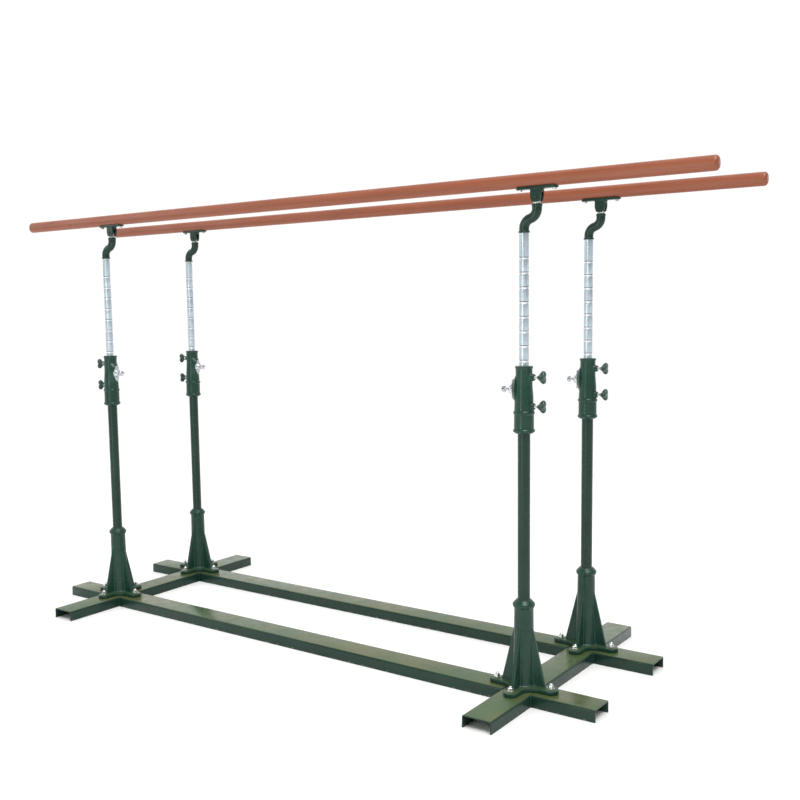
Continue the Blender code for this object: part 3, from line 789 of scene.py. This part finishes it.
def column():
    """Plated tube with a ring groove at every height step: lighter chrome there as a painted
    reflection (slot 1), and painted shade on each groove's upper flank (slot 2).
    """
    profile = [
        (0, COLUMN_TOP),
        (SPIGOT_R, COLUMN_TOP),
        (SPIGOT_R, COLUMN_SHOULDER),
        (COLUMN_R, COLUMN_SHOULDER),
    ]
    half = GROOVE_WIDTH / 2
    groove_r = COLUMN_R - GROOVE_DEPTH
    for step in range(GROOVES_ABOVE_LATCH, -GROOVES_BELOW_LATCH - 1, -1):
        z = LATCH_Z + step * GROOVE_PITCH
        profile += [(COLUMN_R, z + half), (groove_r, z + half - GROOVE_UPPER_FLANK)]
        profile += [(groove_r, z + GROOVE_LOWER_FLANK - half), (COLUMN_R, z - half)]
    cap = COLUMN_SHOULDER - COLUMN_CAP
    profile += [(COLUMN_R, COLUMN_LOW), (COLUMN_BORE_R, COLUMN_LOW), (COLUMN_BORE_R, cap), (0, cap)]
    mesh = turned(profile, 64)
    for face in mesh.polygons:
        radius = math.hypot(face.center.x, face.center.y)
        height = face.center.z
        # Groove faces: the upper flank takes the painted-shade slot 2, the rest the painted-reflection
        # slot 1.
        in_groove = COLUMN_R - 0.0014 < radius < COLUMN_R - 0.0001
        if in_groove and height <= COLUMN_SHOULDER - 0.01:
            above = (height - LATCH_Z + GROOVE_PITCH / 2) % GROOVE_PITCH - GROOVE_PITCH / 2
            face.material_index = 2 if above > 0.0020 else 1
    return mesh


def neck():
    """S-shaped cast arm between a lipped foot and a ringed head."""
    height = NECK_TOP - NECK_LOW
    rise = height - 2 * NECK_STRAIGHT
    bend = 2 * math.atan(NECK_OFFSET / rise)
    radius = rise / (2 * math.sin(bend))
    turn = math.degrees(bend)
    route = [(0, 0.002)] + arc((radius, NECK_STRAIGHT), radius, 180, 180 - turn, 14)
    route += arc((NECK_OFFSET - radius, NECK_STRAIGHT + rise), radius, -turn, 0, 14)[1:]
    route.append((NECK_OFFSET, height - 0.002))
    tube = swept([(x, 0, z) for x, z in route], NECK_R, 8)
    lip = [(0, 0.0070), (0.0180, 0.0070), (0.0207, 0.0052), (0.0207, 0.0008), (0, 0.0)]
    ring = [
        (0, height),
        (0.0180, height),
        (0.0186, height - 0.002),
        (0.0186, height - 0.008),
        (NECK_R, height - 0.010),
        (0, height - 0.010),
    ]
    head = (NECK_OFFSET, 0, 0)
    parts = [tube, turned(lip, 56, 0.001), moved(turned(ring, 56, 0.001), head)]
    return cut(
        cast(parts, 0.0010, 3, 0.4),
        cylinder(SPIGOT_R + 0.0006, -0.01, 0.025),
        moved(cylinder(SWIVEL_R + 0.0006, height - 0.025, height + 0.01), head),
    )


def swivel():
    """Spigot, bright collar and the tongue that the saddle tilts on."""
    foot = NECK_TOP
    spigot = [
        (0, foot + 0.0045),
        (0.0135, foot + 0.0045),
        (0.0146, foot + 0.0035),
        (0.0146, foot + 0.0006),
        (SWIVEL_R, foot + 0.0006),
        (SWIVEL_R, foot - SWIVEL_REACH),
        (0, foot - SWIVEL_REACH),
    ]
    outline = [(-TONGUE_R, foot + 0.003), (TONGUE_R, foot + 0.003)]
    outline += arc((0, PIN_Z), TONGUE_R, 0, 180, 20)
    tongue = moved(extruded(outline, TONGUE_THICK, 0.0012), rotation=(90, 0, 0))
    return merged(turned(spigot, 48, 0.0005), tongue)


def oval(grow=0.0):
    """The rail's section, made larger by grow all round."""
    wide, high = RAIL_HALF_WIDTH + grow, RAIL_HALF_HEIGHT + grow
    angles = [2 * math.pi * i / RAIL_SIDES for i in range(RAIL_SIDES)]
    return [(wide * math.cos(a), high * math.sin(a)) for a in angles]


def saddle():
    """Fork block under a cradle plate that follows the rail's underside."""
    floor = RAIL_LOW - SADDLE_FLOOR
    side = [
        (0.0130, SADDLE_LOW),
        (0.0168, SADDLE_LOW + 0.004),
        (0.0210, PIN_Z),
        (0.0210, floor + 0.003),
    ]
    fork = rounded(mirrored(side), 0.004, closed=True)
    block = moved(extruded(fork, 0.028, 0.0015), rotation=(90, 0, 0))
    flare = mirrored([(0.0200, floor - 0.007), (0.0310, floor + 0.003)])
    gusset = moved(extruded(flare, 0.012, 0.001), rotation=(90, 0, 0))
    thick = SADDLE_TOP - floor
    ends = arc((0.065, 0), 0.015, -90, 90, 16) + arc((-0.065, 0), 0.015, 90, 270, 16)
    plate = moved(extruded(ends, thick, 0.0015), (0, 0, floor + thick / 2))
    casting = cast([block, gusset, plate], 0.0009, 3, 0.4)
    bed = moved(extruded(oval(0.0004), 0.2), (0, 0, (RAIL_LOW + RAIL_TOP) / 2), (90, 0, 90))
    gap, past, deep = FORK_HALF_GAP, 0.04, 0.06
    slot = extruded([(-past, -gap), (past, -gap), (past, gap), (-past, gap)], deep)
    return cut(casting, bed, moved(slot, (0, 0, PIN_Z + 0.0145 - deep / 2)))


def tilt_pin():
    """Pin with a domed head on each side."""
    head = [(0, 0.0173), (0.0030, 0.0172), (0.0055, 0.0163), (0.0064, 0.0145), (0.0040, 0.0143)]
    mesh = turned(head + [(r, -z) for r, z in reversed(head)], 40)
    return moved(mesh, (0, 0, PIN_Z), (90, 0, 0))


def hexagon(radius, low, high):
    """Nut or head with chamfered corners, six-sided."""
    chamfer = [(0, high), (radius * 0.86, high), (radius, high - 0.0012), (radius, low), (0, low)]
    return turned(chamfer, 6)


def rail_bolt():
    """Hexagon-headed bolt and washer, from below the saddle's plate."""
    floor = RAIL_LOW - SADDLE_FLOOR
    head = moved(hexagon(0.0075, 0.0016, 0.0068), rotation=(180, 0, 0))
    washer = turned([(0, -0.0003), (0.0080, -0.0003), (0.0080, -0.0017), (0, -0.0017)], 40, 0.0003)
    shank = cylinder(0.0039, -0.005, 0.025, 24)
    return moved(merged(head, washer, shank), (0, 0, floor))


def flange_bolt():
    """Washer, nut and threaded end above the flange, and a nut under the channel's top."""
    top = PEDESTAL_LOW + FLANGE_THICK + 0.0015
    washer = turned([(0, top + 0.0025), (0.0130, top + 0.0025), (0.0130, top), (0, top)], 48, 0.0006)
    nut = hexagon(0.0106, top + 0.0025, top + 0.0125)
    stud = thread(0.0058, CHANNEL_TOP - 0.018, top + 0.0185, 0.0018)
    lower = hexagon(0.0106, CHANNEL_TOP - 0.0150, CHANNEL_TOP - CHANNEL_WALL)
    return merged(washer, nut, stud, lower)


def rail():
    """Oval rail whose ends round over."""
    half = (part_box("rail_front")[1].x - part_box("rail_front")[0].x) / 2
    angles = [math.radians(90 * k / 10) for k in range(10)]
    stations = [(half - RAIL_END * (1 - math.sin(a)), math.cos(a)) for a in angles]
    inner = [(half * k / 24, 1.0) for k in range(24)]
    right = inner + stations + [(half, 0.30)]
    line = [(-x, share) for x, share in reversed(right[1:])] + right
    loops = []
    for x, share in line:
        shrink = RAIL_END * (1 - share)
        wide, high = 1 - shrink / RAIL_HALF_WIDTH, 1 - shrink / RAIL_HALF_HEIGHT
        loops.append([(x, y * wide, z * high) for y, z in oval()])
    return skinned(loops)


# Assembly


def ready(mesh, materials):
    """The mesh with its materials, shaded smooth with its sharp edges kept."""
    for material in materials:
        mesh.materials.append(material)
    mesh.shade_smooth()
    mesh.set_sharp_from_angle(angle=SHARP_ANGLE)
    return mesh


def put(name, mesh, body, location=(0, 0, 0), rotation=(0, 0, 0), node=None):
    """A piece of the object, riding on a body and standing for a CAD node."""
    made = bpy.data.objects.new(name, mesh)
    bpy.context.scene.collection.objects.link(made)
    made.location = location
    made.rotation_euler = [math.radians(angle) for angle in rotation]
    bpy.context.view_layer.update()
    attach(made, body)
    if node:
        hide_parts(node)
    return made


def build_stand():
    ground_frame = ready(base_frame(), [SHEET_PAINT])
    put("base_frame_looks", ground_frame, "stand", node="base_frame")
    fixed = {
        "pedestal": ready(pedestal(), [CAST_PAINT]),
        "upright": ready(upright(), [SHEET_PAINT]),
        "sleeve": ready(sleeve(), [CAST_PAINT]),
    }
    housing = ready(latch_housing(), [BRIGHT])
    plunger = ready(latch_plunger(), [BRIGHT])
    screw = ready(clamp_screw(), [KNOB, ZINC])
    bolt = ready(flange_bolt(), [ZINC])
    for end, post in POSTS.items():
        outward = 0 if end.endswith("right") else 180
        foot = (post.x, post.y, 0)
        for kind, mesh in fixed.items():
            name = f"{kind}_looks_{end}"
            put(name, mesh, "stand", foot, (0, 0, outward), f"{kind}_{end}")
        for kind, mesh, body in (("housing", housing, "stand"), ("plunger", plunger, f"latch_{end}")):
            name, node = f"latch_{kind}_looks_{end}", f"latch_{kind}_{end}"
            put(name, mesh, body, (post.x, post.y, LATCH_Z), (0, -90, outward), node)
        for level, z in CLAMP_ZS.items():
            name = f"clamp_screw_{level}_{end}"
            place = (post.x, post.y, z)
            put(f"{name}_looks", screw, name, place, (0, 90, outward), name)
        for number, (x, y) in enumerate(ARM_SPOTS):
            place, turn = (post.x + x, post.y + y, 0), (0, 0, 17 + 23 * number)
            put(f"flange_bolt_{end}_{number + 1}", bolt, "stand", place, turn)


def build_rails():
    shaft = ready(column(), [CHROME, RING_REFLECTION, GROOVE_SHADE])
    arm = ready(neck(), [HEAD_PAINT_SHADED])
    tongue = ready(swivel(), [ZINC])
    fork = ready(saddle(), [HEAD_PAINT_SHADED])
    pin = ready(tilt_pin(), [HEAD_PAINT_SHADED])
    bolt = ready(rail_bolt(), [ZINC])
    bar = ready(rail(), [COATING])
    for end, post in POSTS.items():
        row = f"rail_{end.split('_')[0]}"
        foot = (post.x, post.y, 0)
        bottom = (post.x, post.y, NECK_LOW)
        top = (TOPS[end].x, TOPS[end].y, 0)
        for kind, mesh, body, slot, place in (
            ("column", shaft, f"column_{end}", "chrome", foot),
            ("neck", arm, f"neck_{end}", "green_paint", bottom),
            ("swivel", tongue, f"swivel_{end}", "zinc", top),
            ("saddle", fork, row, "green_paint", top),
            ("tilt_pin", pin, row, "green_paint", top),
        ):
            put(f"{kind}_looks_{end}", mesh, body, place, node=f"{kind}_{end}")
        for number, x in enumerate((-RAIL_BOLT_X, RAIL_BOLT_X), 1):
            name = f"rail_bolt_{end}_{number}"
            put(f"{name}_looks", bolt, row, (top[0] + x, top[1], 0), (0, 0, 11), name)
    for row in ROWS:
        node = f"rail_{row}"
        put(f"rail_looks_{row}", bar, node, middle(node), node=node)


# Studio

BACKDROP_SIDE = (-0.593, 0.805, 0.0)


def studio_floor():
    """A plain pale disc, so wide that its edge is never in view."""
    work = bmesh.new()
    bmesh.ops.create_circle(work, cap_ends=True, radius=60, segments=96)
    mesh = bpy.data.meshes.new("floor")
    work.to_mesh(mesh)
    work.free()
    p = Paper("floor")
    shade = p.mix(p.spread(p.noise(0.7, 2.0), 0.3, 0.7), (0.965,) * 3, (0.98,) * 3)
    gloss = p.spread(p.noise(3.0, 2.0), 0.3, 0.7, 0.75, 0.85)
    mesh.materials.append(p.finish(shade, gloss, None))
    made = scratch("floor", mesh)
    made.location = (0, 0, -0.0005)


def lamp(name, location, target, size, power, colour):
    """A rectangular soft light that the camera doesn't see."""
    light = bpy.data.lights.new(name, "AREA")
    light.shape = "RECTANGLE"
    light.size, light.size_y = size
    light.energy = power
    light.color = colour
    made = scratch(name, light)
    made.visible_camera = False
    made.location = location
    aim = Vector(target) - Vector(location)
    made.rotation_euler = aim.to_track_quat("-Z", "Y").to_euler()


def studio_room():
    """Lit white past the object's far side and greyer on the near side. Seen directly, it is white."""
    world = bpy.data.worlds.new("studio")
    bpy.context.scene.world = world
    world.use_nodes = True
    tree = world.node_tree
    direction = tree.nodes.new("ShaderNodeTexCoord").outputs["Generated"]
    facing = tree.nodes.new("ShaderNodeVectorMath")
    facing.operation = "DOT_PRODUCT"
    facing.inputs[1].default_value = BACKDROP_SIDE
    tree.links.new(direction, facing.inputs[0])
    shade = tree.nodes.new("ShaderNodeMapRange")
    shade.interpolation_type = "SMOOTHSTEP"
    for key, value in (("From Min", -0.35), ("From Max", 0.70), ("To Min", 0.34), ("To Max", 1.02)):
        shade.inputs[key].default_value = value
    tree.links.new(facing.outputs["Value"], shade.inputs["Value"])
    seen = tree.nodes.new("ShaderNodeMath")
    seen.operation = "MAXIMUM"
    tree.links.new(shade.outputs["Result"], seen.inputs[0])
    tree.links.new(tree.nodes.new("ShaderNodeLightPath").outputs["Is Camera Ray"], seen.inputs[1])
    background = tree.nodes["Background"]
    background.inputs["Color"].default_value = (1.0, 1.0, 1.0, 1)
    tree.links.new(seen.outputs["Value"], background.inputs["Strength"])


def studio_light():
    """A key, a fill, a tall strip for the streaks on round parts, and a broad sky from above."""
    lamp("key", (3.5, -3.0, 6.5), (0, 0, 0.9), (3.0, 2.0), 170, (1.0, 0.98, 0.95))
    lamp("fill", (-5.5, -4.0, 3.5), (0, 0, 1.0), (3.0, 3.0), 60, (0.93, 0.97, 1.0))
    lamp("strip", (0.0, -5.4, 1.5), (0.6, 0, 1.0), (0.8, 3.6), 48, (0.92, 1.0, 0.86))
    sun = bpy.data.lights.new("sky", "SUN")
    sun.energy = 1.45
    sun.angle = math.radians(50)
    made = scratch("sky", sun)
    made.rotation_euler = (math.radians(12), math.radians(18), 0)
    bpy.context.scene.view_settings.view_transform = "Standard"


def photo_camera():
    """The photograph's viewpoint: from the front right at head height, tilted slightly down."""
    place = (2.761, -3.491, 1.449)
    heading, downward, lean = 36.36, 6.15, -0.90
    data = bpy.data.cameras.new("camera")
    data.sensor_width = 36
    data.lens = 45.45
    data.shift_x = 0.0375
    data.shift_y = 0.0188
    made = scratch("camera", data)
    turn = Matrix.Rotation(math.radians(heading), 4, "Z")
    tilt = Matrix.Rotation(math.radians(90 - downward), 4, "X")
    roll = Matrix.Rotation(math.radians(lean), 4, "Z")
    made.matrix_world = Matrix.Translation(place) @ turn @ tilt @ roll
    bpy.context.scene.camera = made


build_stand()
build_rails()
studio_floor()
studio_room()
studio_light()
photo_camera()
